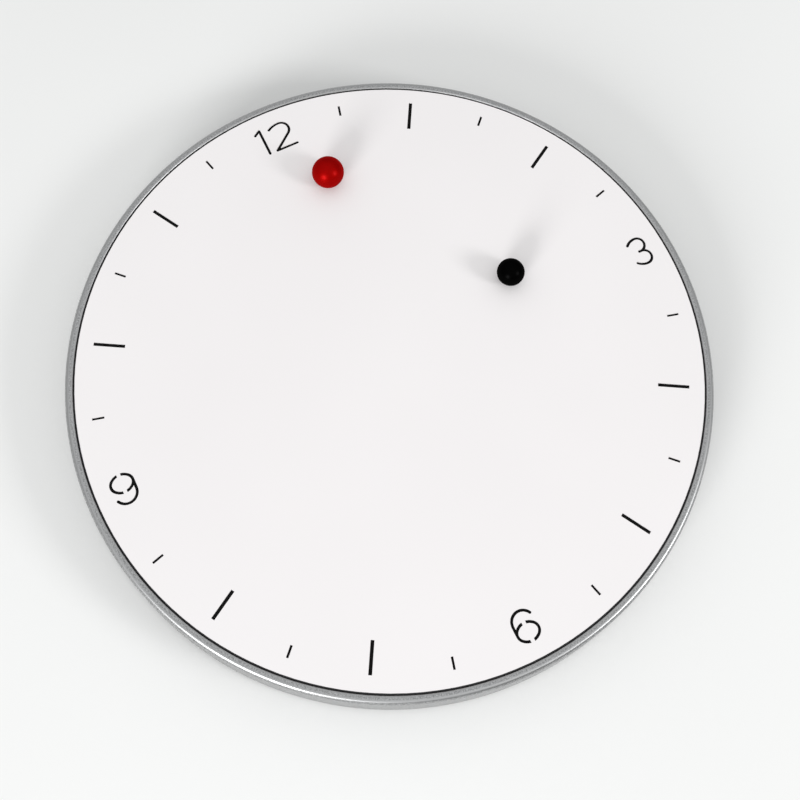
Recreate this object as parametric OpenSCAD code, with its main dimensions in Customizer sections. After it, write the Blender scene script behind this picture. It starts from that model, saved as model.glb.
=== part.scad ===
// Magnetic ball wall clock: two steel balls roll round a white stencilled dial,
// each drawn along by a magnet on a balanced arm behind it.
// Millimetres. Origin: clock axis at the wall. +Z up to 12 o'clock, -Y out of the wall.

/* [Rim] */
// Outside diameter of the rim at its front edge
case_d = 301.4; // [260:0.1:380]
// Width of the rim's front face
rim_face_w = 3.9; // [2.4:0.1:6]
// How much the rim's outer radius grows from its front edge to the wall
rim_flare = 0.7; // [0.4:0.1:3]
// Part of the rim's face taken up by the round of its outer edge
rim_outer_part = 0.62; // [0.1:0.01:0.65]
// Part of the rim's face taken up by the round of its inner edge
rim_inner_part = 0.23; // [0.08:0.01:0.3]
// Dark gap between the dial's edge and the rim
shadow_gap = 0.8; // [0.6:0.1:2]
// Number of screws that hold the rim to the pan's flange
rim_screw_count = 6; // [4:1:12]
// Shank diameter of a rim screw
rim_screw_d = 1.6; // [1.2:0.1:2]
// Head diameter of a rim screw
rim_screw_head_d = 3; // [2.4:0.1:3.2]
// Length of a rim screw
rim_screw_len = 8; // [5:0.5:12]

/* [Dial] */
// Thickness of the dial plate
dial_t = 0.6; // [0.4:0.1:2]
// Thickness of the black film behind the cut marks
film_t = 0.5; // [0.2:0.1:1]
// Distance from the dial's edge to the outer ends of the marks
mark_inset = 7.1; // [5:0.1:12]
// Length of an hour mark
hour_mark_len = 14.7; // [8:0.1:20]
// Width of an hour mark
hour_mark_w = 1.65; // [0.8:0.05:2.5]
// Length of a half-hour mark
half_mark_len = 5.6; // [3:0.1:10]
// Width of a half-hour mark
half_mark_w = 1.1; // [0.6:0.05:2]
// Height of the numerals
numeral_h = 15.1; // [12:0.1:20]
// Width of a numeral's stroke
numeral_stroke = 1.35; // [0.8:0.05:1.8]
// Width of the bridges that hold the middles of 6 and 9
stencil_bridge = 1.75; // [1:0.05:3]

/* [Balls] */
// Diameter of the red minute ball
minute_ball_d = 15.5; // [12:0.1:20]
// Diameter of the black hour ball
hour_ball_d = 13.2; // [10:0.1:18]
// Distance from the dial's edge to the minute ball's path
minute_inset = 45.6; // [34:0.1:51]
// Distance from the dial's edge to the hour ball's path
hour_inset = 74.3; // [72:0.1:84]
// Clock angle of the minute ball, from 12
minute_angle = 8; // [0:0.1:359]
// Clock angle of the hour ball, from 12
hour_angle = 77.6; // [0:0.1:359]
// Gap between a resting ball and the dial
ball_gap = 0.2; // [0.1:0.05:0.4]

/* [Arms] */
// Thickness of both arms
arm_t = 0.8; // [0.5:0.1:1.2]
// Width of an arm at its hub
arm_hub_w = 12; // [8:0.5:16]
// Width of an arm where it meets its end discs
arm_tip_w = 7; // [4:0.5:10]
// Diameter of an arm's hub disc
arm_hub_d = 20; // [14:0.5:26]
// Metal left round a magnet or counterweight
arm_edge = 1.2; // [0.6:0.1:2]
// Gap between the two arms
arm_gap = 0.9; // [0.5:0.1:2]
// Gap between the bush nut and the hour arm
arm_run_gap = 0.6; // [0.4:0.1:2]
// Gap between the minute arm and the film behind the dial
dial_clearance = 2.1; // [1:0.1:4]
// Diameter of the minute magnet
minute_magnet_d = 15; // [10:0.5:18]
// Diameter of the hour magnet
hour_magnet_d = 13; // [8:0.5:14]
// Thickness of both magnets
magnet_t = 4; // [2:0.5:5]
// Diameter of the minute arm's counterweight
minute_weight_d = 28; // [16:0.5:29]
// Gap between the hour arm's sweep and the minute arm's counterweight
sweep_gap = 2.4; // [1:0.1:20]
// Diameter of the hour arm's counterweight
hour_weight_d = 24; // [14:0.5:26]
// Gap between the movement's pocket and the hour arm's counterweight
weight_gap = 7.4; // [3:0.1:12]
// Thickness of both counterweights
weight_t = 4; // [2:0.5:5]

/* [Back pan] */
// Thickness of the pan's floor
floor_t = 2.4; // [1.6:0.1:4]
// Depth of the ring-shaped recess in the back of the floor
back_recess = 0.6; // [0.2:0.1:1]
// Width of the flat land round the back that meets the wall
back_land_w = 16; // [12:0.5:24]
// Thickness of the pan's upright wall
pan_wall_t = 2.4; // [1.6:0.1:4]
// Thickness of the flange that the rim stands on
flange_t = 1.6; // [1.4:0.1:3]
// Step from the flange's edge out to the rim's back edge
flange_inset = 0.6; // [0.3:0.1:1]
// Clearance between the pan's wall and the rim
rim_fit = 0.2; // [0.1:0.05:0.4]
// Number of stiffening ribs on the floor
rib_count = 12; // [6:1:24]
// Thickness of a rib
rib_t = 1.6; // [1:0.1:3]
// Height of a rib above the floor
rib_h = 7; // [3:0.5:9]
// Clearance round the movement in its pocket
pocket_clear = 1; // [0.5:0.1:2]
// Thickness of the pocket's walls
pocket_wall_t = 1.6; // [1.2:0.1:3]
// Thickness of the pocket's roof, which the movement is clamped to
pocket_roof_t = 1.4; // [1:0.1:3]
// Diameter of the keyhole's entry
keyhole_d = 9; // [7:0.5:12]
// Width of the keyhole's slot
keyhole_slot_w = 4; // [3:0.5:5]
// Rise from the entry's centre to the slot's end
keyhole_rise = 10; // [8:0.5:14]
// Height of the keyhole's entry above the clock axis
keyhole_height = 96; // [70:1:105]
// Depth of the closed box behind the keyhole
keyhole_box_h = 7; // [5:0.5:9]

/* [Movement] */
// Depth of the movement's back below the wall face
movement_recess = 0.5; // [0.3:0.1:2]
// Diameter of the AA cell
cell_d = 14.2; // [13.5:0.1:14.5]
// Length of the AA cell's body
cell_len = 49.2; // [48:0.1:50]
// Diameter of the cell's positive cap
cap_d = 5.5; // [5:0.1:6]
// Height of the cell's positive cap
cap_h = 1.2; // [1:0.1:1.6]
// Clearance round the cell
cell_clear = 0.1; // [0.05:0.05:0.3]
// Thickness of a battery contact
contact_t = 0.4; // [0.3:0.05:0.6]
// How far a contact's dimple stands out towards the cell
contact_bow = 0.6; // [0.4:0.1:1]
// Width of a battery contact
contact_w = 8; // [5:0.5:10]
// Thickness of the movement case's front and long walls
case_wall_t = 0.8; // [0.6:0.1:1]
// Thickness of the movement case's side walls
case_side_t = 1.8; // [1.6:0.1:3]
// Thickness of the wall between the cell and the wheels
partition_t = 1.6; // [1.2:0.1:2.5]
// Room for the wheels from the clock axis down to the partition
train_below = 10; // [9.6:0.1:12]
// Room for the wheels from the clock axis up to the case wall
train_above = 25.6; // [25:0.1:32]
// Thickness of the movement's cover
cover_t = 1; // [0.8:0.1:1.2]
// Width of the ledge that the cover rests on
cover_ledge = 1; // [0.8:0.1:1.2]
// Clearance round the cover
cover_fit = 0.1; // [0.05:0.05:0.3]
// Outside diameter of the threaded bush
bush_d = 8; // [7.5:0.1:10]
// Thickness of the rubber gasket behind the roof
gasket_t = 0.4; // [0.3:0.1:1]
// Outside diameter of the gasket
gasket_d = 18; // [14:0.5:22]
// Thickness of the washer
washer_t = 0.4; // [0.3:0.1:1]
// Outside diameter of the washer
washer_d = 15; // [13.5:0.5:18]
// Width across the flats of the bush nut
nut_flats = 11; // [10.5:0.1:13]
// Thickness of the bush nut
nut_t = 1.8; // [1.2:0.1:3]
// Outside diameter of the hour pipe
hour_pipe_d = 5; // [4.6:0.1:5.6]
// Outside diameter of the minute shaft
minute_shaft_d = 3; // [2.6:0.1:3.1]
// Diameter of the small nut on the minute shaft
minute_nut_d = 6; // [5:0.5:8]
// Thickness of the small nut on the minute shaft
minute_nut_t = 0.7; // [0.4:0.1:0.8]
// Radial clearance of a running fit
run_fit = 0.05; // [0.02:0.01:0.08]
// Radial clearance of a pushed-on fit
push_fit = 0.02; // [0.01:0.01:0.03]

/* [Wheels] */
// Tooth module of the third pinion and the centre wheel
centre_module = 0.21; // [0.2:0.005:0.22]
// Tooth module of the intermediate pinion and the seconds wheel
seconds_module = 0.22; // [0.21:0.005:0.23]
// Tooth module of the rotor pinion and the intermediate wheel
rotor_module = 0.2; // [0.19:0.005:0.21]
// Tooth module of the cannon pinion and the motion wheel
motion_module = 0.33; // [0.32:0.005:0.34]
// Thickness of a wheel
wheel_t = 0.8; // [0.5:0.1:1]
// Length of a pinion
pinion_len = 1.6; // [1.2:0.1:1.8]
// Diameter of the thin arbors
arbor_d = 0.8; // [0.6:0.05:0.9]
// Diameter of the motion wheel's arbor, which carries the set knob
motion_arbor_d = 1.2; // [1:0.05:1.4]
// Diameter of the set knob
knob_d = 11; // [8:0.5:11.5]
// Thickness of the set knob
knob_t = 1.9; // [1.4:0.1:2.2]
// Diameter of the rotor's magnet
rotor_magnet_d = 4.8; // [4:0.1:5.2]
// Diameter of the coil winding
coil_d = 6.4; // [5:0.1:6.8]

/* [Hidden] */
$fn = 96;
cut = 1;

// Depth stack, measured from the wall towards the viewer
movement_t = cell_d + 2 * cell_clear + case_wall_t;
movement_front = movement_recess + movement_t;
roof_back = movement_front + gasket_t;
roof_front = roof_back + pocket_roof_t;
washer_front = roof_front + washer_t;
nut_front = washer_front + nut_t;
hour_arm_back = nut_front + arm_run_gap;
hour_arm_front = hour_arm_back + arm_t;
minute_arm_back = hour_arm_front + arm_gap;
minute_arm_front = minute_arm_back + arm_t;
film_back = minute_arm_front + dial_clearance;
dial_back = film_back + film_t;
case_depth = dial_back + dial_t;

// Rings of the case
rim_front_r = case_d / 2;
rim_back_r = rim_front_r + rim_flare;
rim_bore_r = rim_front_r - rim_face_w;
rim_outer_round = rim_face_w * rim_outer_part;
rim_inner_round = rim_face_w * rim_inner_part;
dial_r = rim_bore_r - shadow_gap;
pan_r = rim_bore_r - rim_fit;
pan_inner_r = pan_r - pan_wall_t;
flange_r = rim_back_r - flange_inset;
rim_screw_r = (rim_bore_r + flange_r) / 2;
rim_screw_head_h = (rim_screw_head_d - rim_screw_d) / 2;
mark_outer_r = dial_r - mark_inset;
inner_land_w = 3;
keyhole_room = 2;
keyhole_wall_t = 1.6;

// Wheel train: tooth counts and places
centre_teeth = 64;
third_teeth = 60;
seconds_teeth = 60;
intermediate_teeth = 60;
motion_teeth = 36;
hour_teeth = 40;
third_leaves = 8;
seconds_leaves = 8;
intermediate_leaves = 12;
rotor_leaves = 10;
cannon_leaves = 12;
motion_leaves = 10;
third_reach = centre_module * (centre_teeth + third_leaves) / 2;
third_module = 2 * third_reach / (third_teeth + seconds_leaves);
intermediate_reach = seconds_module * (seconds_teeth + intermediate_leaves) / 2;
rotor_reach = rotor_module * (intermediate_teeth + rotor_leaves) / 2;
motion_reach = motion_module * (motion_teeth + cannon_leaves) / 2;
hour_module = 2 * motion_reach / (hour_teeth + motion_leaves);
third_dir = 135;
intermediate_dir = 200;
rotor_dir = 165;
motion_dir = 45;
axis_xy = [0, 0];
third_xy = polar(third_reach, third_dir);
intermediate_xy = polar(intermediate_reach, intermediate_dir);
rotor_xy = intermediate_xy + polar(rotor_reach, rotor_dir);
motion_xy = polar(motion_reach, motion_dir);

// Coil's place beside the rotor
coil_offset = [-7.6, 1.9];
coil_xy = rotor_xy + coil_offset;
bobbin_flange_over = 0.2;
bobbin_flange_d = coil_d + 2 * bobbin_flange_over;
coil_clear = 0.3;
coil_reach = bobbin_flange_d / 2 - coil_xy[0] + coil_clear;

// Movement outline, about the clock axis, wide enough for the cell with its contacts and for the coil
cell_half_len = (cell_len + cap_h) / 2;
bay_half_len = max(cell_half_len + contact_bow + contact_t, coil_reach);
dimple_h = bay_half_len - contact_t - cell_half_len;
movement_half_w = bay_half_len + case_side_t;
bay_w = cell_d + 4 * cell_clear;
bay_top = -train_below - partition_t;
bay_bottom = bay_top - bay_w;
movement_top = train_above + case_side_t;
movement_bottom = bay_bottom - case_side_t;
movement_corner = 2;
train_corner = 1;
cell_y = (bay_top + bay_bottom) / 2;
cell_z = movement_recess + cell_clear + cell_d / 2;
train_half_w = movement_half_w - case_side_t;
inner_front = movement_front - case_wall_t;
inner_back = movement_recess + cover_t;
pocket_half_w = movement_half_w + pocket_clear;
pocket_top = movement_top + pocket_clear;
pocket_bottom = movement_bottom - pocket_clear;
pocket_corner = movement_corner + pocket_clear;
pocket_tall = max(pocket_top, -pocket_bottom);
pocket_reach = norm([pocket_half_w - pocket_corner, pocket_tall - pocket_corner])
    + pocket_corner + pocket_wall_t;

// Ball paths and counterweights, from the axis
minute_orbit = dial_r - minute_inset;
hour_orbit = dial_r - hour_inset;
hour_weight_orbit = pocket_reach + weight_gap + arm_edge + hour_weight_d / 2;
hour_sweep_r = max(hour_orbit + hour_magnet_d / 2, hour_weight_orbit + hour_weight_d / 2) + arm_edge;
minute_weight_orbit = hour_sweep_r + sweep_gap + arm_edge + minute_weight_d / 2;

// Wheel levels, from the movement's cover to its front wall
boss_h = 0.5;
boss_wall = 1;
pivot_depth = 0.5;
wheel_room = 0.8;
front_room = 1.7;
first_level = inner_back + boss_h + wheel_room;
last_level = inner_front - front_room - wheel_t;
level_count = 6;
level_pitch = (last_level - first_level) / (level_count - 1);
pinion_over = (pinion_len - wheel_t) / 2;

// Set knob's well in the movement's cover
knob_room = 0.5;
knob_proud = 0.2;
knob_back = movement_recess - knob_proud;
knob_flutes = 24;
knob_flute_d = 0.8;
well_r = knob_d / 2 + knob_room;
well_wall_t = 0.7;
well_floor_back = movement_recess + knob_t + knob_room;
well_floor_t = 0.6;

// Stepping motor and circuit board
coil_half_len = 5.5;
bobbin_flange_t = 0.8;
bobbin_wall = 1;
core_half_len = 9;
core_w = 3;
core_t = 0.8;
bobbin_d = core_w + 2 * bobbin_wall;
stator_t = 0.8;
stator_w = 5.6;
stator_ring_wall = 1.1;
stator_arm_w = 2.9;
stator_back = level(1) + wheel_t;
core_back = stator_back + stator_t;
core_mid = core_back + core_t / 2;
rotor_gap = 0.4;
rotor_magnet_t = 1.8;
board_t = 1;
board_h = 9;
board_edge_gap = 0.3;
board_room = 2.6;
board_front = inner_front - board_room;
board_back = board_front - board_t;
board_top = train_above - board_edge_gap;
post_d = 3;
post_inset = 6;
post_places = [0.25, 0.75];
chip_d = 5;
chip_t = 0.9;
chip_dome_r = 3.7;
chip_x = -6;
crystal_d = 2;
crystal_len = 6;
crystal_x = 4;
crystal_foot = 0.4;
tail_h = contact_w / 2;
tail_overlap = 2;
tail_top = board_top - board_h + tail_overlap;

// Numeral proportions
nine_half_w = 5.15;
nine_bowl_half_h = 4.15;
nine_bowl_end_r = 3.4;
nine_hook_end = -151;
three_half_w = 4.7;
three_waist_x = 0.4;
three_low_extra = 0.2;
three_bow_end = 44;
one_x = -5.8;
one_flag = [-2.8, -1.8];
two_left = -1.8;
two_right = 8.9;
two_bow_r = 3.9;
two_bow_x = 4.5;
two_sweep_r = 10.5;
two_sweep_end = 33;
stroke_half_h = (numeral_h - numeral_stroke) / 2;
stroke_end_over = 0.01;
oval_join_short = 0.3;

// Clock-tooth forms, each point a height over the pitch circle in modules and a half width in pitches
wheel_tooth = [[-1.25, 0.215], [0, 0.215], [0.55, 0.15], [0.95, 0.06]];
pinion_leaf = [[-1.4, 0.17], [0, 0.19], [0.35, 0.15], [0.62, 0.07]];

function polar(r, a) = [r * cos(a), r * sin(a)];
function level(n) = first_level + n * level_pitch;
function heading(from, to) = atan2(to[1] - from[1], to[0] - from[0]);
// Turn of a follower whose gap faces the driver's tooth, with the driver's tooth at driver_turn
function mesh_turn(way, teeth, leaves, driver_turn = 0) =
    way + 180 + 180 / leaves - teeth / leaves * (driver_turn - way);
function tooth_points(count, module_size, form) = [
    for (k = [0 : count - 1])
        for (j = [0 : 2 * len(form) - 1])
            let (i = min(j, 2 * len(form) - 1 - j))
            let (side = j < len(form) ? -1 : 1)
            polar(module_size * (count / 2 + form[i][0]), (k + side * form[i][1]) * 360 / count)
];

// Turns a shape drawn face up, with the wall at z = 0, to the way that the clock hangs
module hang() {
    rotate([90, 0, 0]) children();
}

module lift(z, h) {
    translate([0, 0, z]) linear_extrude(h) children();
}

module at_clock(angle, r = 0) {
    rotate([0, 0, -angle]) translate([0, r, 0]) children();
}

module round_rect(left, right, bottom, top, r) {
    translate([left + r, bottom]) square([right - left - 2 * r, top - bottom]);
    translate([left, bottom + r]) square([right - left, top - bottom - 2 * r]);
    for (x = [left + r, right - r], y = [bottom + r, top - r])
        translate([x, y]) circle(r);
}

module gear(count, module_size, form, turn) {
    rotate(turn) polygon(tooth_points(count, module_size, form));
}

// Numeral strokes, with round ends a hair wider than the stroke so that they cross its sides
module stroke_end(p) {
    translate(p) circle(numeral_stroke / 2 + stroke_end_over);
}

module line_stroke(a, b) {
    translate(a) rotate(heading(a, b)) translate([0, -numeral_stroke / 2])
        square([norm(b - a), numeral_stroke]);
    stroke_end(a);
    stroke_end(b);
}

module wedge(r, from, to) {
    steps = ceil((to - from) / 45);
    polygon([[0, 0], for (i = [0 : steps]) polar(2 * r, from + (to - from) * i / steps)]);
}

module arc_stroke(centre, r, from, to) {
    translate(centre) intersection() {
        difference() {
            circle(r + numeral_stroke / 2);
            circle(r - numeral_stroke / 2);
        }
        wedge(r, from, to);
    }
    stroke_end(centre + polar(r, from));
    stroke_end(centre + polar(r, to));
}

// Four-arc oval with half width a, half height b and end arcs of radius r, grown by g.
// The flat arcs stop a little short of where they touch the end arcs, so that the two cross
module oval(a, b, r, g) {
    c = a - r;
    drop = (c * c - (b - r) * (b - r)) / (2 * (b - r));
    join_x = c + (r + g) * c / norm([c, drop]);
    intersection() {
        translate([0, -drop]) circle(b + drop + g);
        translate([0, drop]) circle(b + drop + g);
        square([2 * (join_x - oval_join_short), 2 * (b + g)], center = true);
    }
    for (x = [-c, c])
        translate([x, 0]) circle(r + g);
}

module oval_stroke(a, b, r) {
    difference() {
        oval(a, b, r, numeral_stroke / 2);
        oval(a, b, r, -numeral_stroke / 2);
    }
}

// Nine, drawn about its own middle, with two bridges that hold the bowl's middle
module nine() {
    bowl_y = stroke_half_h - nine_bowl_half_h;
    hook_y = nine_half_w - stroke_half_h;
    translate([0, bowl_y]) difference() {
        oval_stroke(nine_half_w, nine_bowl_half_h, nine_bowl_end_r);
        square([stencil_bridge, 4 * nine_bowl_half_h], center = true);
    }
    line_stroke([nine_half_w, hook_y], [nine_half_w, bowl_y]);
    arc_stroke([0, hook_y], nine_half_w, nine_hook_end, 0);
}

module three() {
    bow_r = stroke_half_h / 2;
    sweep_r = 2 * bow_r;
    upper_x = three_half_w - bow_r;
    lower_x = upper_x + three_low_extra;
    arc_stroke([upper_x, stroke_half_h - bow_r], bow_r, -90, 90);
    arc_stroke([lower_x, bow_r - stroke_half_h], bow_r, -90, 90);
    line_stroke([three_waist_x, 0], [upper_x, 0]);
    arc_stroke([upper_x, stroke_half_h - sweep_r], sweep_r, 90, 90 + three_bow_end);
    arc_stroke([lower_x, sweep_r - stroke_half_h], sweep_r, 270 - three_bow_end, 270);
}

module twelve() {
    bow_at = [two_bow_x, stroke_half_h - two_bow_r];
    foot = [two_left, -stroke_half_h];
    tangent = heading(bow_at, foot) + acos(two_bow_r / norm(foot - bow_at));
    one_top = [one_x, stroke_half_h];
    line_stroke([one_x, -stroke_half_h], one_top);
    line_stroke(one_top, one_top + one_flag);
    arc_stroke(bow_at, two_bow_r, tangent, 90);
    arc_stroke([two_bow_x, stroke_half_h - two_sweep_r], two_sweep_r, 90, 90 + two_sweep_end);
    line_stroke(bow_at + polar(two_bow_r, tangent), foot);
    line_stroke(foot, [two_right, -stroke_half_h]);
}

module hour_marks() {
    for (hour = [0 : 11])
        if (hour % 3 != 0)
            rotate(-30 * hour) translate([-hour_mark_w / 2, mark_outer_r - hour_mark_len])
                square([hour_mark_w, hour_mark_len]);
}

module half_marks() {
    for (hour = [0 : 11])
        rotate(-30 * hour - 15) translate([-half_mark_w / 2, mark_outer_r - half_mark_len])
            square([half_mark_w, half_mark_len]);
}

module numerals() {
    middle = mark_outer_r - numeral_h / 2;
    side_middle = mark_outer_r - nine_half_w - numeral_stroke / 2;
    translate([0, middle]) twelve();
    translate([side_middle, 0]) three();
    translate([0, -middle]) rotate(180) nine();
    translate([-side_middle, 0]) nine();
}

// Case
module rim_profile() {
    rise = case_depth - flange_t;
    slant = norm([rise, rim_flare]);
    normal = [rise / slant, rim_flare / slant];
    outer_z = case_depth - rim_outer_round;
    outer_line_r = rim_front_r + rim_flare * rim_outer_round / rise;
    outer_c = [outer_line_r - rim_outer_round / normal[0], outer_z];
    inner_c = [rim_bore_r + rim_inner_round, case_depth - rim_inner_round];
    polygon([
        [rim_bore_r, flange_t],
        [rim_back_r, flange_t],
        outer_c + rim_outer_round * normal,
        [outer_c[0], case_depth],
        [inner_c[0], case_depth],
        [rim_bore_r, inner_c[1]],
    ]);
    translate(outer_c) intersection() {
        circle(rim_outer_round);
        square(rim_outer_round);
    }
    translate(inner_c) circle(rim_inner_round);
}

module at_rim_screws() {
    for (k = [0 : rim_screw_count - 1])
        at_clock(360 / rim_screw_count * (k + 0.5), rim_screw_r) children();
}

module rim_ring() color("silver") hang() difference() {
    rotate_extrude($fn = 180) rim_profile();
    at_rim_screws() translate([0, 0, flange_t - cut])
        cylinder(d = rim_screw_d + 2 * push_fit, h = rim_screw_len - flange_t + 2 * cut);
}

module rim_screws() color("gray") hang() at_rim_screws() {
    recess = rim_screw_head_d / 2;
    blade = rim_screw_d / 4;
    difference() {
        union() {
            translate([0, 0, push_fit])
                cylinder(d1 = rim_screw_head_d, d2 = rim_screw_d, h = rim_screw_head_h);
            translate([0, 0, push_fit]) cylinder(d = rim_screw_d, h = rim_screw_len - push_fit);
        }
        for (turn = [0, 90])
            rotate(turn) cube([recess, blade, rim_screw_head_h], center = true);
    }
}

module keyhole_cut() {
    circle(d = keyhole_d);
    translate([-keyhole_slot_w / 2, 0]) square([keyhole_slot_w, keyhole_rise]);
    translate([0, keyhole_rise]) circle(d = keyhole_slot_w);
}

module keyhole_box(grow) {
    room = keyhole_room + grow;
    reach = keyhole_d / 2 + room;
    round_rect(-reach, reach, -reach, keyhole_rise + keyhole_slot_w / 2 + room, room);
}

module pocket_outline(grow) {
    round_rect(-pocket_half_w - grow, pocket_half_w + grow, pocket_bottom - grow, pocket_top + grow,
        pocket_corner + grow);
}

module pan_ribs() {
    for (k = [0 : rib_count - 1])
        rotate(360 / rib_count * (k + 0.5)) translate([0, -rib_t / 2])
            square([pan_inner_r + pan_wall_t / 2, rib_t]);
}

module pan_shell() {
    cylinder(r = pan_r, h = floor_t, $fn = 180);
    cylinder(r = flange_r, h = flange_t, $fn = 180);
    difference() {
        cylinder(r = pan_r, h = dial_back, $fn = 180);
        translate([0, 0, -cut]) cylinder(r = pan_inner_r, h = dial_back + 2 * cut, $fn = 180);
    }
    lift(floor_t, rib_h) difference() {
        pan_ribs();
        pocket_outline(pocket_wall_t / 2);
        translate([0, keyhole_height]) keyhole_box(keyhole_wall_t / 2);
    }
    lift(0, roof_front) pocket_outline(pocket_wall_t);
    translate([0, keyhole_height]) lift(0, floor_t + keyhole_box_h + keyhole_wall_t)
        keyhole_box(keyhole_wall_t);
}

module back_recess_cut() {
    recess_inner_r = norm([pocket_half_w, pocket_tall]) + inner_land_w;
    lift(-cut, back_recess + cut) difference() {
        circle(flange_r - back_land_w, $fn = 180);
        circle(recess_inner_r, $fn = 180);
    }
}

module rim_screw_cut() {
    cylinder(d1 = rim_screw_head_d + 2 * push_fit, d2 = rim_screw_d + 2 * push_fit,
        h = rim_screw_head_h + push_fit);
    translate([0, 0, -cut]) cylinder(d = rim_screw_d + 2 * push_fit, h = flange_t + 2 * cut);
}

module back_pan() color("dimgray") hang() difference() {
    pan_shell();
    lift(-cut, roof_back + cut) pocket_outline(0);
    cylinder(r = bush_d / 2 + 2 * run_fit, h = roof_front + cut);
    back_recess_cut();
    translate([0, keyhole_height]) {
        lift(-cut, floor_t + 2 * cut) keyhole_cut();
        lift(floor_t, keyhole_box_h) keyhole_box(0);
    }
    at_rim_screws() rim_screw_cut();
}

module dial_plate() color("white") hang() lift(dial_back, dial_t) difference() {
    circle(dial_r, $fn = 180);
    hour_marks();
    half_marks();
    numerals();
}

module dial_film() color([0.08, 0.08, 0.08]) hang()
    translate([0, 0, film_back]) cylinder(r = pan_inner_r - rim_fit, h = film_t, $fn = 180);

// Movement housing
module movement_outline() {
    round_rect(-movement_half_w, movement_half_w, movement_bottom, movement_top, movement_corner);
}

module train_room(grow) {
    round_rect(-train_half_w - grow, train_half_w + grow, -train_below - grow, train_above + grow,
        train_corner + grow);
}

module at_wheels() {
    for (place = [third_xy, intermediate_xy, rotor_xy])
        translate(place) children();
}

// Slot in the partition that a contact's tail drops into from behind
module tail_slot(side) {
    half_t = contact_t / 2 + cell_clear;
    translate([side * (bay_half_len - contact_t / 2) - half_t, bay_top - cut, movement_recess - cut])
        cube([2 * half_t, partition_t + 2 * cut, board_front - movement_recess + cell_clear + cut]);
}

module movement_case() color([0.1, 0.1, 0.1]) hang() difference() {
    union() {
        lift(movement_recess, movement_t) movement_outline();
        translate([0, 0, movement_front]) cylinder(d = bush_d, h = nut_front - movement_front);
    }
    lift(movement_recess - cut, cover_t + cut) train_room(cover_ledge + cover_fit);
    difference() {
        lift(movement_recess, inner_front - movement_recess) train_room(0);
        board_posts();
    }
    lift(movement_recess - cut, inner_front - movement_recess + cut)
        translate([-bay_half_len, bay_bottom]) square([2 * bay_half_len, bay_w]);
    for (side = [-1, 1])
        tail_slot(side);
    cylinder(r = hour_pipe_d / 2 + run_fit, h = nut_front + cut);
    translate([0, 0, inner_front - cut]) {
        at_wheels() cylinder(r = arbor_d / 2 + run_fit, h = pivot_depth + run_fit + cut);
        translate(motion_xy) cylinder(r = motion_arbor_d / 2 + run_fit, h = pivot_depth + run_fit + cut);
    }
}

module movement_cover() color([0.16, 0.16, 0.17]) hang() difference() {
    union() {
        lift(movement_recess, cover_t) train_room(cover_ledge);
        lift(movement_recess, cover_t + boss_h) {
            at_wheels() circle(d = arbor_d + 2 * boss_wall);
            circle(d = arbor_d + 2 * boss_wall);
        }
        lift(movement_recess, well_floor_back + well_floor_t - movement_recess)
            translate(motion_xy) circle(well_r + well_wall_t);
    }
    translate(motion_xy) {
        cylinder(r = well_r, h = well_floor_back);
        cylinder(r = motion_arbor_d / 2 + run_fit, h = inner_front);
    }
    lift(inner_back + boss_h - pivot_depth - run_fit, pivot_depth + cut) {
        at_wheels() circle(arbor_d / 2 + run_fit);
        circle(arbor_d / 2 + run_fit);
    }
}

module ring(outer_d, inner_r, z, h) {
    lift(z, h) difference() {
        circle(d = outer_d);
        circle(inner_r);
    }
}

module bush_gasket() color([0.2, 0.2, 0.2]) hang()
    ring(gasket_d, bush_d / 2 + run_fit, movement_front, gasket_t);

module bush_washer() color("gold") hang()
    ring(washer_d, bush_d / 2 + run_fit, roof_front, washer_t);

module bush_nut() color("goldenrod") hang() lift(washer_front, nut_t) difference() {
    circle(d = nut_flats / cos(30), $fn = 6);
    circle(bush_d / 2 + push_fit);
}

// Battery and circuit
module battery_cell() color("darkslategray") hang() translate([-cell_half_len, cell_y, cell_z])
    rotate([0, 90, 0]) {
        cylinder(d = cell_d, h = cell_len);
        cylinder(d = cap_d, h = cell_len + cap_h);
    }

// Sprung strip on the end wall of the cell's bay, with a tail up the side wall to the circuit board
module contact_strip(side) {
    wall_x = side * (bay_half_len - contact_t / 2);
    translate([wall_x, cell_y, cell_z]) {
        cube([contact_t, contact_w, contact_w], center = true);
        translate([-side * contact_t / 2, 0, 0]) rotate([0, -side * 90, 0])
            cylinder(d = cap_d, h = dimple_h);
    }
    translate([wall_x, (cell_y + tail_top) / 2, board_front - tail_h / 2])
        cube([contact_t, tail_top - cell_y, tail_h], center = true);
}

module positive_contact() color("khaki") hang() contact_strip(1);

module negative_contact() color("khaki") hang() contact_strip(-1);

module board_posts() {
    for (x = [-1, 1], y = post_places)
        translate([x * (train_half_w - post_inset), board_top - y * board_h, board_front])
            cylinder(d = post_d, h = inner_front - board_front + cut);
}

module circuit_board() color("darkgreen") hang() lift(board_back, board_t)
    translate([-train_half_w + contact_t, board_top - board_h])
        square([2 * (train_half_w - contact_t), board_h]);

// Drop of black resin over the chip, domed towards the back
module driver_chip() color([0.1, 0.1, 0.1]) hang()
    translate([chip_x, board_top - board_h / 2, board_back - chip_t]) intersection() {
        cylinder(d = chip_d, h = chip_t);
        translate([0, 0, chip_dome_r]) sphere(r = chip_dome_r);
    }

module quartz_crystal() color("silver") hang()
    translate([crystal_x, board_top - board_h / 2, board_back - crystal_d / 2]) rotate([0, 90, 0]) {
        cylinder(d = crystal_d, h = crystal_len);
        translate([0, 0, -crystal_foot]) cylinder(d = crystal_d - crystal_foot, h = crystal_foot);
    }

// Stepping motor
module along_coil() {
    translate([coil_xy[0], coil_xy[1], core_mid]) rotate([90, 0, 0]) children();
}

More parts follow.
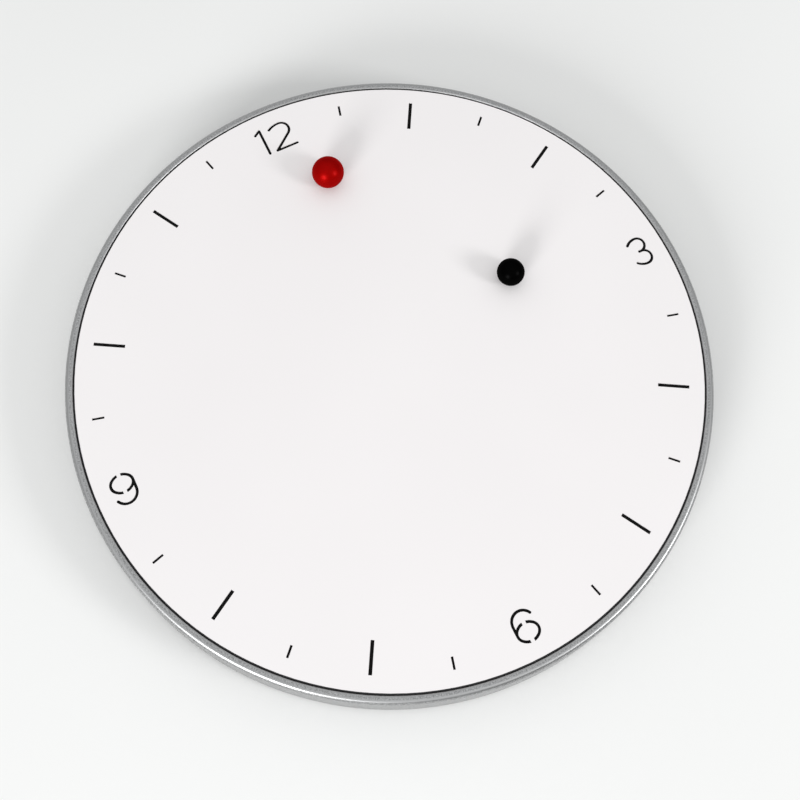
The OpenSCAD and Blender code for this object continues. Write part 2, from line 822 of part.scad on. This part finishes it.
module coil_bobbin() color("ivory") hang() along_coil() difference() {
    union() {
        cylinder(d = bobbin_d, h = 2 * coil_half_len, center = true);
        for (end = [-1, 1])
            translate([0, 0, end * (coil_half_len - bobbin_flange_t / 2)])
                cylinder(d = bobbin_flange_d, h = bobbin_flange_t, center = true);
    }
    cube([core_w + 2 * push_fit, core_t + 2 * push_fit, 2 * coil_half_len + 2 * cut], center = true);
}

module coil_winding() color("peru") hang() along_coil() difference() {
    cylinder(d = coil_d, h = 2 * (coil_half_len - bobbin_flange_t), center = true);
    cylinder(d = bobbin_d + 2 * push_fit, h = 2 * coil_half_len, center = true);
}

module coil_core() color("slategray") hang() lift(core_back, core_t)
    translate(coil_xy - [core_w / 2, core_half_len]) square([core_w, 2 * core_half_len]);

module stator_plate() color("lightslategray") hang() lift(stator_back, stator_t) difference() {
    low = coil_xy[1] - core_half_len;
    high = coil_xy[1] + core_half_len;
    left = coil_xy[0] - core_w / 2;
    hole_r = rotor_magnet_d / 2 + rotor_gap;
    union() {
        translate([rotor_xy[0] - stator_w / 2, low]) square([stator_w, high - low]);
        translate(rotor_xy) circle(hole_r + stator_ring_wall);
        for (y = [low, high - stator_arm_w])
            translate([left, y]) square([rotor_xy[0] - left, stator_arm_w]);
    }
    translate(rotor_xy) circle(hole_r);
}

// Wheels: each runs between its boss in the cover and its pivot hole in the case
module arbor(d = arbor_d) {
    back = inner_back + boss_h - pivot_depth;
    translate([0, 0, back]) cylinder(d = d, h = inner_front + pivot_depth - back);
}

module toothed(count, module_size, form, n, over, turn) {
    lift(level(n) - over, wheel_t + 2 * over) gear(count, module_size, form, turn);
}

module rotor() color("whitesmoke") hang() translate(rotor_xy) {
    arbor();
    toothed(rotor_leaves, rotor_module, pinion_leaf, 0, pinion_over,
        mesh_turn(heading(intermediate_xy, rotor_xy), intermediate_teeth, rotor_leaves));
    translate([0, 0, stator_back + (stator_t - rotor_magnet_t) / 2])
        cylinder(d = rotor_magnet_d, h = rotor_magnet_t);
}

module intermediate_wheel() color("white") hang() translate(intermediate_xy) {
    arbor();
    toothed(intermediate_teeth, rotor_module, wheel_tooth, 0, 0, 0);
    toothed(intermediate_leaves, seconds_module, pinion_leaf, 1, pinion_over,
        mesh_turn(heading(axis_xy, intermediate_xy), seconds_teeth, intermediate_leaves));
}

module seconds_wheel() color("ivory") hang() {
    guide = level(4);
    back = inner_back + boss_h - pivot_depth;
    translate([0, 0, back]) cylinder(d = arbor_d, h = guide - back);
    toothed(seconds_teeth, seconds_module, wheel_tooth, 1, 0, 0);
    toothed(seconds_leaves, third_module, pinion_leaf, 2, pinion_over,
        mesh_turn(heading(third_xy, axis_xy), third_teeth, seconds_leaves));
}

module third_wheel() color("white") hang() translate(third_xy) {
    arbor();
    toothed(third_teeth, third_module, wheel_tooth, 2, 0, 0);
    toothed(third_leaves, centre_module, pinion_leaf, 3, pinion_over,
        mesh_turn(heading(axis_xy, third_xy), centre_teeth, third_leaves));
}

module centre_wheel() color("gold") hang() difference() {
    union() {
        toothed(centre_teeth, centre_module, wheel_tooth, 3, 0, 0);
        toothed(cannon_leaves, motion_module, pinion_leaf, 4, pinion_over,
            mesh_turn(heading(motion_xy, axis_xy), motion_teeth, cannon_leaves));
        translate([0, 0, level(3)])
            cylinder(d = minute_shaft_d, h = minute_arm_front + minute_nut_t - level(3));
    }
    translate([0, 0, level(3) - cut])
        cylinder(r = arbor_d / 2 + run_fit, h = level(4) - level(3) + 2 * cut);
}

module motion_wheel() color("white") hang() translate(motion_xy) {
    back = movement_recess + knob_room;
    translate([0, 0, back]) cylinder(d = motion_arbor_d, h = inner_front + pivot_depth - back);
    toothed(motion_teeth, motion_module, wheel_tooth, 4, 0, 0);
    toothed(motion_leaves, hour_module, pinion_leaf, 5, pinion_over,
        mesh_turn(heading(axis_xy, motion_xy), hour_teeth, motion_leaves));
}

module set_knob() color("black") hang() translate(motion_xy) lift(knob_back, knob_t) difference() {
    circle(d = knob_d);
    for (k = [0 : knob_flutes - 1])
        translate(polar(knob_d / 2, 360 / knob_flutes * k)) circle(d = knob_flute_d);
    circle(motion_arbor_d / 2 + push_fit);
}

module hour_wheel() color("ivory") hang() difference() {
    union() {
        toothed(hour_teeth, hour_module, wheel_tooth, 5, 0, 0);
        translate([0, 0, level(5)]) cylinder(d = hour_pipe_d, h = hour_arm_front - level(5));
    }
    translate([0, 0, level(5) - cut])
        cylinder(r = minute_shaft_d / 2 + run_fit, h = hour_arm_front + 2 * cut);
}

// Arms: a tapered bar from the magnet's disc through the hub to the counterweight's disc
module arm_outline(magnet_d, orbit, weight_d, weight_orbit, shaft_d) {
    difference() {
        union() {
            circle(d = arm_hub_d);
            for (end = [[magnet_d, orbit, 0], [weight_d, weight_orbit, 180]])
                rotate(end[2]) {
                    polygon([[-arm_hub_w / 2, 0], [arm_hub_w / 2, 0],
                             [arm_tip_w / 2, end[1]], [-arm_tip_w / 2, end[1]]]);
                    translate([0, end[1]]) circle(d = end[0] + 2 * arm_edge);
                }
        }
        circle(shaft_d / 2 + push_fit);
    }
}

module hour_arm() color("lightgray") hang() at_clock(hour_angle) lift(hour_arm_back, arm_t)
    arm_outline(hour_magnet_d, hour_orbit, hour_weight_d, hour_weight_orbit, hour_pipe_d);

module minute_arm() color("lightgray") hang() at_clock(minute_angle) lift(minute_arm_back, arm_t)
    arm_outline(minute_magnet_d, minute_orbit, minute_weight_d, minute_weight_orbit, minute_shaft_d);

module hour_magnet() color("silver") hang() at_clock(hour_angle, hour_orbit)
    translate([0, 0, hour_arm_back - magnet_t]) cylinder(d = hour_magnet_d, h = magnet_t);

module minute_magnet() color("silver") hang() at_clock(minute_angle, minute_orbit)
    translate([0, 0, minute_arm_back - magnet_t]) cylinder(d = minute_magnet_d, h = magnet_t);

module hour_counterweight() color("goldenrod") hang() at_clock(hour_angle + 180, hour_weight_orbit)
    translate([0, 0, hour_arm_back - weight_t]) cylinder(d = hour_weight_d, h = weight_t);

module minute_counterweight() color("goldenrod") hang() at_clock(minute_angle + 180, minute_weight_orbit)
    translate([0, 0, minute_arm_back - weight_t]) cylinder(d = minute_weight_d, h = weight_t);

module minute_nut() color("gold") hang()
    ring(minute_nut_d, minute_shaft_d / 2 + push_fit, minute_arm_front, minute_nut_t);

// Balls
module ball(d, angle, orbit) {
    hang() at_clock(angle, orbit) translate([0, 0, case_depth + ball_gap + d / 2]) sphere(d = d);
}

module minute_ball() color("red") ball(minute_ball_d, minute_angle, minute_orbit);

module hour_ball() color("black") ball(hour_ball_d, hour_angle, hour_orbit);

rim_ring();
back_pan();
dial_plate();
dial_film();
rim_screws();
movement_case();
movement_cover();
bush_gasket();
bush_washer();
bush_nut();
battery_cell();
positive_contact();
negative_contact();
circuit_board();
driver_chip();
quartz_crystal();
coil_bobbin();
coil_winding();
coil_core();
stator_plate();
rotor();
intermediate_wheel();
seconds_wheel();
third_wheel();
centre_wheel();
motion_wheel();
set_knob();
hour_wheel();
hour_arm();
hour_magnet();
hour_counterweight();
minute_arm();
minute_magnet();
minute_counterweight();
minute_nut();
minute_ball();
hour_ball();
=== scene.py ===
import math

import bpy
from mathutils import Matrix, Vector


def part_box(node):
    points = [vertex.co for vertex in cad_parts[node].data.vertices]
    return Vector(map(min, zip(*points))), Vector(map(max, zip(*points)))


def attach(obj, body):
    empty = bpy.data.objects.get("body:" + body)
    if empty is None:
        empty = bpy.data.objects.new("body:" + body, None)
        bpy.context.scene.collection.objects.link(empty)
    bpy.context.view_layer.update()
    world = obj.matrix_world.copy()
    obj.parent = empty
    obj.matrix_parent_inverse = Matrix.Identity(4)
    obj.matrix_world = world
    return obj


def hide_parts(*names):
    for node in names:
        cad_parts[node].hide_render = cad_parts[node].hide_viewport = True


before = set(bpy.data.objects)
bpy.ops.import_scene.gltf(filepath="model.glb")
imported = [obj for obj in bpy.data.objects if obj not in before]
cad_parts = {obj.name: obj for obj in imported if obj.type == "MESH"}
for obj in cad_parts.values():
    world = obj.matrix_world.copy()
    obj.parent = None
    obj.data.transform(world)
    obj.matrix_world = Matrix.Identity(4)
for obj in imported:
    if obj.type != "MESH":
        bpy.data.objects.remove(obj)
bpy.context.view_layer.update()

MM = 0.001

# Camera, fitted to the hour marks and the rim
CAMERA_PLACE = (-0.0928, -0.5917, -0.1553)
CAMERA_TURN_DEG = (109.672, 26.260, -2.079)
CAMERA_LENS_MM = 57.414
HALF_PIXEL = 0.5 / 800
CAMERA_SHIFT = (-HALF_PIXEL, -0.125 + HALF_PIXEL)

# Lamps: clock bearing from 12, angle off the dial's normal, distance, side and power
LEFT_LAMP = {"bearing": 235, "off_normal": 69, "distance": 2.4, "side": 0.9, "power": 34.5}
RIGHT_LAMP = {"bearing": 140, "off_normal": 60, "distance": 2.4, "side": 0.65, "power": 18}
# Brightness of the room below the clock, above it and straight out from the dial
ROOM_LOW = 0.1
ROOM_HIGH = 0.5
ROOM_FAR = 0.93
ROOM_TURN = -0.2

# Rim: its section, the two shades of its satin grain, and the lighter colour of its rounded edges, which is a
# painted highlight
RIM_FRONT_R = 150.7 * MM
RIM_FACE_W = 3.9 * MM
RIM_BORE_R = RIM_FRONT_R - RIM_FACE_W
RIM_OUTER_ROUND = 0.62 * RIM_FACE_W
RIM_INNER_ROUND = 0.23 * RIM_FACE_W
RIM_ROUND_STEPS = 12
RIM_SEGMENTS = 720
RIM_DARK = (0.26, 0.262, 0.265)
RIM_LIGHT = (0.50, 0.503, 0.507)
# Lighter colour of the rounded edges: a painted highlight
RIM_EDGE_HIGHLIGHT = (0.46, 0.463, 0.467)

# Wall that the clock hangs on, open behind the clock so that its back is lit
WALL_R = 4.0
WALL_HOLE_R = 150 * MM
WALL_GAP = 0.2 * MM
WALL_SEGMENTS = 128


def add(tree, kind, inputs=(), **settings):
    """Makes one shader node with its settings, and its inputs as values or links."""
    made = tree.nodes.new(kind)
    for name, value in settings.items():
        setattr(made, name, value)
    for socket, value in dict(inputs).items():
        if isinstance(value, bpy.types.NodeSocket):
            tree.links.new(value, made.inputs[socket])
        else:
            made.inputs[socket].default_value = value
    return made


def principled(name, **values):
    """Makes a material and sets plain values on its shader's own sockets."""
    material = bpy.data.materials.new(name)
    material.use_nodes = True
    shader = material.node_tree.nodes["Principled BSDF"]
    for socket, value in values.items():
        shader.inputs[socket.replace("_", " ")].default_value = value
    return material, material.node_tree, shader


def place(tree):
    """The point on the piece, in the shared frame."""
    return add(tree, "ShaderNodeTexCoord").outputs["Object"]


def grain(tree, per_metre, detail=2.0):
    """Even noise with about this many lumps to the metre."""
    noise = add(tree, "ShaderNodeTexNoise", {"Vector": place(tree), "Scale": per_metre, "Detail": detail})
    return noise.outputs["Fac"]


def brushing(tree, lines_per_metre, drift):
    """Noise drawn out round the clock's axis into fine rings."""
    here = place(tree)
    depth = add(tree, "ShaderNodeSeparateXYZ", {"Vector": here}).outputs["Y"]
    flat = add(tree, "ShaderNodeVectorMath", {0: here, 1: (1, 0, 1)}, operation="MULTIPLY").outputs["Vector"]
    radius = add(tree, "ShaderNodeVectorMath", {0: flat}, operation="LENGTH").outputs["Value"]
    way = add(tree, "ShaderNodeVectorMath", {0: flat}, operation="NORMALIZE").outputs["Vector"]
    way = add(tree, "ShaderNodeVectorMath", {0: way, "Scale": drift}, operation="SCALE").outputs["Vector"]
    way = add(tree, "ShaderNodeSeparateXYZ", {"Vector": way}).outputs
    across = add(tree, "ShaderNodeMath", {0: radius, 1: lines_per_metre}, operation="MULTIPLY").outputs[0]
    along = add(tree, "ShaderNodeMath", {0: depth, 1: lines_per_metre}, operation="MULTIPLY").outputs[0]
    spot = add(tree, "ShaderNodeCombineXYZ", {"X": way["X"], "Y": across, "Z": way["Z"]}).outputs["Vector"]
    return add(tree, "ShaderNodeTexNoise", {"Vector": spot, "W": along, "Scale": 1.0, "Detail": 3.0},
               noise_dimensions="4D").outputs["Fac"]


def tint(tree, shader, factor, dark, light):
    """Colours the surface between two close shades by a factor."""
    ramp = add(tree, "ShaderNodeValToRGB", {"Fac": factor})
    ramp.color_ramp.elements[0].position = 0.3
    ramp.color_ramp.elements[0].color = (*dark, 1)
    ramp.color_ramp.elements[1].position = 0.7
    ramp.color_ramp.elements[1].color = (*light, 1)
    tree.links.new(ramp.outputs["Color"], shader.inputs["Base Color"])


def vary_roughness(tree, shader, factor, low, high):
    spread = add(tree, "ShaderNodeMapRange", {"Value": factor, "To Min": low, "To Max": high})
    tree.links.new(spread.outputs["Result"], shader.inputs["Roughness"])


def raise_bump(tree, shader, factor, height):
    bump = add(tree, "ShaderNodeBump", {"Height": factor, "Distance": height, "Strength": 1.0})
    tree.links.new(bump.outputs["Normal"], shader.inputs["Normal"])


def shades(colour, spread):
    """A darker and a lighter shade of a colour."""
    dark = tuple(c * (1 - spread) for c in colour)
    light = tuple(min(1.0, c * (1 + spread)) for c in colour)
    return dark, light


def brushed_metal(name, colour, lines_per_metre=3000, drift=6, rough=(0.28, 0.42), height=0.004 * MM):
    material, tree, shader = principled(name, Metallic=1.0)
    lines = brushing(tree, lines_per_metre, drift)
    tint(tree, shader, lines, *shades(colour, 0.08))
    vary_roughness(tree, shader, lines, *rough)
    raise_bump(tree, shader, lines, height)
    return material


def rim_metal():
    """Satin metal with a fine grain, brushed round the axis, and a painted highlight: a lighter colour on its
    rounded edges.
    """
    material, tree, shader = principled("rim_metal", Metallic=1.0, Anisotropic=0.5)
    rings = add(tree, "ShaderNodeTangent", direction_type="RADIAL", axis="Y")
    tree.links.new(rings.outputs["Tangent"], shader.inputs["Tangent"])
    out = add(tree, "ShaderNodeNewGeometry").outputs["Normal"]
    facing = add(tree, "ShaderNodeSeparateXYZ", {"Vector": out}).outputs["Y"]
    front = add(tree, "ShaderNodeMath", {0: facing, 1: -1.0}, operation="MULTIPLY").outputs[0]
    # Painted highlight: where the surface tilts off the front, on the rounded edges, the colour turns lighter
    # so that their reflections read brighter
    ramp = add(tree, "ShaderNodeValToRGB", {"Fac": front})
    ramp.color_ramp.elements[0].position = 0.6
    ramp.color_ramp.elements[1].color = (0, 0, 0, 1)
    for position in (0.85, 0.97):
        ramp.color_ramp.elements.new(position).color = (1, 1, 1, 1)
    edge = ramp.outputs["Color"]
    lines = brushing(tree, 3000, 6)
    specks = grain(tree, 1500, 1.0)
    specks = add(tree, "ShaderNodeMapRange", {"Value": specks, "From Min": 0.35, "From Max": 0.65})
    satin = add(tree, "ShaderNodeMixRGB", {"Fac": specks.outputs["Result"],
                                           "Color1": (*RIM_DARK, 1), "Color2": (*RIM_LIGHT, 1)})
    both = add(tree, "ShaderNodeMixRGB", {"Fac": edge, "Color1": satin.outputs["Color"],
                                          "Color2": (*RIM_EDGE_HIGHLIGHT, 1)})
    tree.links.new(both.outputs["Color"], shader.inputs["Base Color"])
    satin = add(tree, "ShaderNodeMapRange", {"Value": lines, "To Min": 0.32, "To Max": 0.44})
    rough = add(tree, "ShaderNodeMapRange", {"Value": edge, "To Max": 0.36,
                                             "To Min": satin.outputs["Result"]})
    tree.links.new(rough.outputs["Result"], shader.inputs["Roughness"])
    raise_bump(tree, shader, lines, 0.004 * MM)
    return material


def plain_metal(name, colour, per_metre=1500, rough=(0.25, 0.4), height=0.003 * MM):
    material, tree, shader = principled(name, Metallic=1.0)
    lumps = grain(tree, per_metre)
    tint(tree, shader, lumps, *shades(colour, 0.1))
    vary_roughness(tree, shader, lumps, *rough)
    raise_bump(tree, shader, lumps, height)
    return material


def moulded_plastic(name, colour, per_metre=2200, rough=(0.42, 0.58), height=0.02 * MM,
                    spread=0.15, shine=0.5):
    material, tree, shader = principled(name, Specular_IOR_Level=shine)
    lumps = grain(tree, per_metre)
    tint(tree, shader, lumps, *shades(colour, spread))
    vary_roughness(tree, shader, lumps, *rough)
    raise_bump(tree, shader, lumps, height)
    return material


def dial_paint():
    """Matt powder coat: a fine even peel and the faintest drift of shade."""
    material, tree, shader = principled("dial_paint", Specular_IOR_Level=0.35)
    tint(tree, shader, grain(tree, 14, 1.0), (0.874, 0.848, 0.852), (0.888, 0.862, 0.866))
    peel = grain(tree, 1400)
    vary_roughness(tree, shader, peel, 0.55, 0.7)
    raise_bump(tree, shader, peel, 0.006 * MM)
    return material


def ball_enamel(name, colour, edge, metal, shine):
    """Enamel over a steel ball, with a tint at its edge, a thin clear coat and a slight peel."""
    material, tree, shader = principled(name, Metallic=metal, Specular_IOR_Level=0.0,
                                        Specular_Tint=(*edge, 1), Coat_Weight=shine, Coat_Roughness=0.3)
    tint(tree, shader, grain(tree, 260), *shades(colour, 0.06))
    vary_roughness(tree, shader, grain(tree, 900), 0.4, 0.5)
    raise_bump(tree, shader, grain(tree, 420), 0.01 * MM)
    return material


def coil_copper(turns_per_metre=4200):
    """Enamelled wire in close turns round the bobbin, which lies along Z."""
    material, tree, shader = principled("coil_copper", Metallic=0.85)
    waves = add(tree, "ShaderNodeTexWave", {"Vector": place(tree), "Scale": turns_per_metre / 20,
                                            "Distortion": 0.4}, bands_direction="Z")
    wave = waves.outputs["Fac"]
    tint(tree, shader, wave, (0.24, 0.08, 0.03), (0.62, 0.27, 0.13))
    vary_roughness(tree, shader, wave, 0.3, 0.45)
    raise_bump(tree, shader, wave, 0.08 * MM)
    return material


def board_resist():
    """Green solder resist over a grid of thin copper tracks."""
    material, tree, shader = principled("board_resist")
    bricks = add(tree, "ShaderNodeTexBrick", {"Vector": place(tree), "Scale": 260.0, "Mortar Size": 0.06})
    tracks = bricks.outputs["Fac"]
    tint(tree, shader, tracks, (0.015, 0.10, 0.035), (0.05, 0.22, 0.09))
    vary_roughness(tree, shader, grain(tree, 1800), 0.25, 0.4)
    raise_bump(tree, shader, tracks, 0.03 * MM)
    return material


def cell_wrap():
    """Dark wrap on the cell, with bare steel left at both ends."""
    lo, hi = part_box("battery_cell")
    material, tree, shader = principled("cell_wrap")
    along = add(tree, "ShaderNodeSeparateXYZ", {"Vector": place(tree)}).outputs["X"]
    share = add(tree, "ShaderNodeMapRange", {"Value": along, "From Min": lo.x, "From Max": hi.x})
    ramp = add(tree, "ShaderNodeValToRGB", {"Fac": share.outputs["Result"]})
    bands = ramp.color_ramp
    bands.interpolation = "CONSTANT"
    bands.elements[0].color = (0.45, 0.45, 0.46, 1)
    bands.elements[1].position = 0.012
    bands.elements[1].color = (0.05, 0.06, 0.075, 1)
    for position, colour in ((0.72, (0.50, 0.30, 0.10, 1)), (0.965, (0.45, 0.45, 0.46, 1))):
        bands.elements.new(position).color = colour
    tree.links.new(ramp.outputs["Color"], shader.inputs["Base Color"])
    shader.inputs["Metallic"].default_value = 0.35
    scuffs = grain(tree, 700)
    vary_roughness(tree, shader, scuffs, 0.25, 0.4)
    raise_bump(tree, shader, scuffs, 0.004 * MM)
    return material


def dress(material, *names):
    """Gives CAD nodes a material."""
    for name in names:
        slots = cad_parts[name].data.materials
        slots.clear()
        slots.append(material)


def dress_case():
    dress(dial_paint(), "dial_plate")
    dress(moulded_plastic("film_black", (0.006, 0.006, 0.006), rough=(0.6, 0.75), shine=0.05), "dial_film")
    dress(moulded_plastic("pan_plastic", (0.022, 0.022, 0.023), shine=0.25), "back_pan")
    dress(plain_metal("screw_zinc", (0.48, 0.48, 0.47)), "rim_screws")


def arc(centre, radius, start, end):
    """Points on part of a circle in the rim's section, turning from outwards towards the front."""
    points = []
    for k in range(RIM_ROUND_STEPS + 1):
        turn = start + (end - start) * k / RIM_ROUND_STEPS
        points.append((centre[0] + radius * math.cos(turn), centre[1] - radius * math.sin(turn)))
    return points


def rim_section():
    """Radius and depth of points round the rim's section, from the back of its bore to its back edge."""
    low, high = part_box("rim_ring")
    front, back, back_r = low.y, high.y, high.x
    lean = math.atan2(back_r - RIM_FRONT_R, back - front)
    outer_r = RIM_FRONT_R + RIM_OUTER_ROUND * (math.tan(lean) - 1 / math.cos(lean))
    inner = (RIM_BORE_R + RIM_INNER_ROUND, front + RIM_INNER_ROUND)
    outer = (outer_r, front + RIM_OUTER_ROUND)
    return [(RIM_BORE_R, back), *arc(inner, RIM_INNER_ROUND, math.pi, math.pi / 2),
            *arc(outer, RIM_OUTER_ROUND, math.pi / 2, lean), (back_r, back)]


def make_rim():
    """Turns the rim finely, so that the light runs smoothly round its edges."""
    section = rim_section()
    count = len(section)
    points = []
    for k in range(RIM_SEGMENTS):
        turn = math.tau * k / RIM_SEGMENTS
        points += [(r * math.sin(turn), y, r * math.cos(turn)) for r, y in section]
    faces = []
    for k in range(RIM_SEGMENTS):
        here, there = k * count, (k + 1) % RIM_SEGMENTS * count
        for j in range(count):
            after = (j + 1) % count
            faces.append((here + j, there + j, there + after, here + after))
    mesh = bpy.data.meshes.new("rim_turned")
    mesh.from_pydata(points, [], faces)
    mesh.shade_smooth()
    mesh.set_sharp_from_angle(angle=math.radians(30))
    mesh.materials.append(rim_metal())
    rim = bpy.data.objects.new("rim_turned", mesh)
    bpy.context.scene.collection.objects.link(rim)
    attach(rim, "case")
    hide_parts("rim_ring")


def dress_balls():
    dress(ball_enamel("ball_red", (0.32, 0.001, 0.0006), (1.0, 0.04, 0.03), 0.5, 0.04), "minute_ball")
    dress(ball_enamel("ball_black", (0.0006, 0.0006, 0.0006), (0.1, 0.1, 0.1), 0.0, 0.03), "hour_ball")


def dress_movement():
    dress(moulded_plastic("movement_plastic", (0.014, 0.014, 0.015)), "movement_case")
    dress(moulded_plastic("cover_plastic", (0.030, 0.030, 0.033), 2800), "movement_cover")
    dress(moulded_plastic("knob_plastic", (0.022, 0.022, 0.022), 3200), "set_knob")
    dress(moulded_plastic("gasket_rubber", (0.016, 0.016, 0.016), 900, (0.75, 0.9)), "bush_gasket")
    dress(brushed_metal("bush_brass", (0.70, 0.50, 0.20), 9000), "bush_washer", "bush_nut", "minute_nut")
    dress(cell_wrap(), "battery_cell")
    dress(plain_metal("contact_nickel", (0.60, 0.58, 0.52)), "positive_contact", "negative_contact")
    dress(board_resist(), "circuit_board")
    dress(moulded_plastic("chip_resin", (0.012, 0.012, 0.012), 500, (0.25, 0.4)), "driver_chip")
    dress(plain_metal("crystal_can", (0.66, 0.66, 0.66), 2600), "quartz_crystal")
    dress(moulded_plastic("bobbin_plastic", (0.66, 0.62, 0.50), spread=0.05), "coil_bobbin")
    dress(coil_copper(), "coil_winding")
    dress(plain_metal("core_iron", (0.36, 0.37, 0.39)), "coil_core", "stator_plate")


def dress_wheels():
    wheel = moulded_plastic("wheel_plastic", (0.74, 0.74, 0.71), spread=0.04)
    dress(wheel, "rotor", "intermediate_wheel", "seconds_wheel", "third_wheel", "motion_wheel", "hour_wheel")
    dress(brushed_metal("centre_brass", (0.70, 0.50, 0.20), 9000), "centre_wheel")
    dress(plain_metal("arm_sheet", (0.60, 0.61, 0.62), 900), "hour_arm", "minute_arm")
    dress(plain_metal("magnet_nickel", (0.62, 0.61, 0.58), 600), "hour_magnet", "minute_magnet")
    dress(plain_metal("weight_brass", (0.66, 0.47, 0.19), 1200), "hour_counterweight", "minute_counterweight")


def wall_plaster():
    """Pale wall seen from the front only, so that the clock's back shows from behind."""
    material, tree, shader = principled("wall_plaster", Roughness=0.9, Specular_IOR_Level=0.1)
    tint(tree, shader, grain(tree, 5, 1.0), (0.860, 0.862, 0.855), (0.880, 0.882, 0.876))
    raise_bump(tree, shader, grain(tree, 500), 0.02 * MM)
    behind = add(tree, "ShaderNodeNewGeometry").outputs["Backfacing"]
    clear = add(tree, "ShaderNodeBsdfTransparent").outputs["BSDF"]
    both = add(tree, "ShaderNodeMixShader", {0: behind, 1: shader.outputs["BSDF"], 2: clear})
    tree.links.new(both.outputs["Shader"], tree.nodes["Material Output"].inputs["Surface"])
    return material


def make_wall():
    points = []
    for radius in (WALL_HOLE_R, WALL_R):
        for k in range(WALL_SEGMENTS):
            turn = math.tau * k / WALL_SEGMENTS
            points.append((radius * math.sin(turn), WALL_GAP, radius * math.cos(turn)))
    faces = []
    for k in range(WALL_SEGMENTS):
        after = (k + 1) % WALL_SEGMENTS
        faces.append((k, after, after + WALL_SEGMENTS, k + WALL_SEGMENTS))
    mesh = bpy.data.meshes.new("wall")
    mesh.from_pydata(points, [], faces)
    mesh.materials.append(wall_plaster())
    wall = bpy.data.objects.new("wall", mesh)
    bpy.context.scene.collection.objects.link(wall)


def add_lamp(name, bearing, off_normal, distance, side, power):
    """A square soft box that faces the clock from a clock bearing and an angle off the dial's normal."""
    turn, lean = math.radians(bearing), math.radians(off_normal)
    way = Vector((math.sin(turn) * math.sin(lean), -math.cos(lean), math.cos(turn) * math.sin(lean)))
    light = bpy.data.lights.new(name, "AREA")
    light.size = side
    light.energy = power
    lamp = bpy.data.objects.new(name, light)
    lamp.location = way * distance
    lamp.rotation_mode = "QUATERNION"
    lamp.rotation_quaternion = (-way).to_track_quat("-Z", "Y")
    bpy.context.scene.collection.objects.link(lamp)


def make_world():
    """A room that is brightest straight out from the dial, dimmer above the clock and dark below it."""
    world = bpy.data.worlds.new("room")
    world.use_nodes = True
    tree = world.node_tree
    way = add(tree, "ShaderNodeTexCoord").outputs["Generated"]
    way = add(tree, "ShaderNodeSeparateXYZ", {"Vector": way}).outputs
    side = add(tree, "ShaderNodeMapRange", {"Value": way["Z"], "From Min": -1.0,
                                            "To Min": ROOM_LOW, "To Max": ROOM_HIGH})
    level = add(tree, "ShaderNodeMapRange", {"Value": way["Y"], "From Min": -1.0, "From Max": ROOM_TURN,
                                             "To Min": ROOM_FAR, "To Max": side.outputs["Result"]})
    tree.links.new(level.outputs["Result"], tree.nodes["Background"].inputs["Strength"])
    tree.nodes["Background"].inputs["Color"].default_value = (0.99, 1.0, 1.0, 1)
    bpy.context.scene.world = world


def make_camera():
    data = bpy.data.cameras.new("camera")
    data.lens = CAMERA_LENS_MM
    data.sensor_width = 36
    data.shift_x, data.shift_y = CAMERA_SHIFT
    data.clip_start = 0.01
    camera = bpy.data.objects.new("camera", data)
    camera.location = CAMERA_PLACE
    camera.rotation_euler = [math.radians(a) for a in CAMERA_TURN_DEG]
    bpy.context.scene.collection.objects.link(camera)
    bpy.context.scene.camera = camera


bpy.context.scene.view_settings.view_transform = "Standard"
make_rim()
dress_case()
dress_balls()
dress_movement()
dress_wheels()
make_wall()
add_lamp("left_lamp", **LEFT_LAMP)
add_lamp("right_lamp", **RIGHT_LAMP)
make_world()
make_camera()
